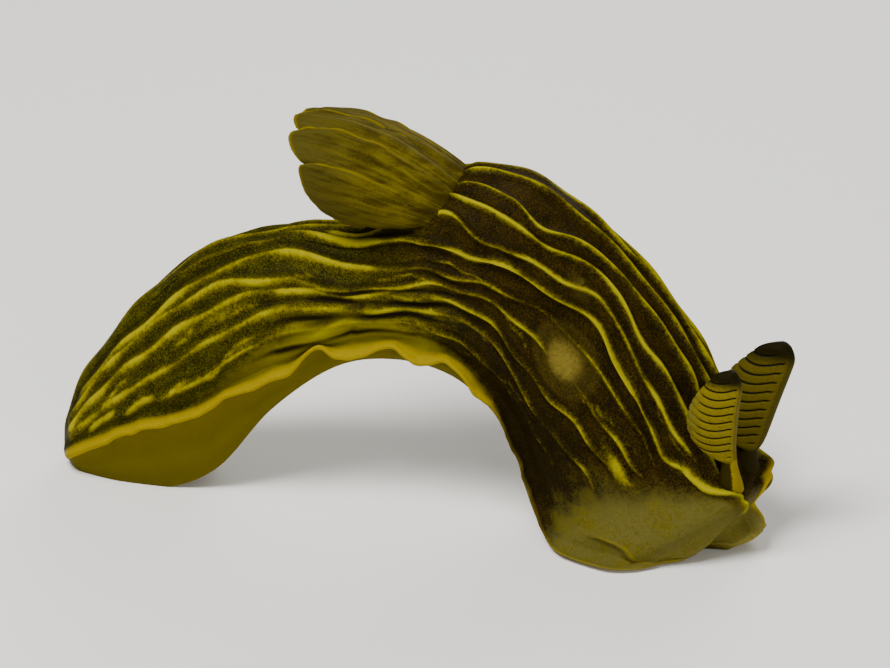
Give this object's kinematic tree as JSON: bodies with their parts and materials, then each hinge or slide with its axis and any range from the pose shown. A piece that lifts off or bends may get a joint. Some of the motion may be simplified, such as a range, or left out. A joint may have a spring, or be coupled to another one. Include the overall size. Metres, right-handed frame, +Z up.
{
  "type": "ridged dorid sea slug",
  "caption": "Life-size sea slug arched over the ground, with a ridged back, a fan of leaf-like gills and two lamellate rhinophores on a broad head.",
  "frame": {"origin": "on the floor under the middle of the slug's bounding box", "axes": "+X towards the head, along the longest extent; +Y to the slug's left; +Z up"},
  "size_m": [0.0344, 0.0094, 0.0184],
  "materials": {
    "skin_rear": "moist olive skin with raised yellow ridges",
    "skin_front": "moist olive-brown skin with raised yellow ridges",
    "skin_head": "moist, smooth grey-olive skin",
    "skin_veil": "moist, half-clear grey-green skin",
    "skin_foot": "moist yellow skin",
    "gill_leaf": "thin olive leaves with yellow edges",
    "rhinophore_flesh": "yellow-olive with dark cross leaves"
  },
  "bodies": {
    "root": {"tail": "skin_rear", "body_rear": "skin_rear", "body_middle": "skin_front", "body_front": "skin_front", "head": "skin_head", "oral_veil": "skin_veil", "foot_tail": "skin_foot", "foot_rear": "skin_foot", "foot_middle": "skin_foot", "foot_front": "skin_foot", "foot_head": "skin_foot", "gill": "gill_leaf", "rhinophore_right": "rhinophore_flesh", "rhinophore_left": "rhinophore_flesh"}
  },
  "joints": []
}
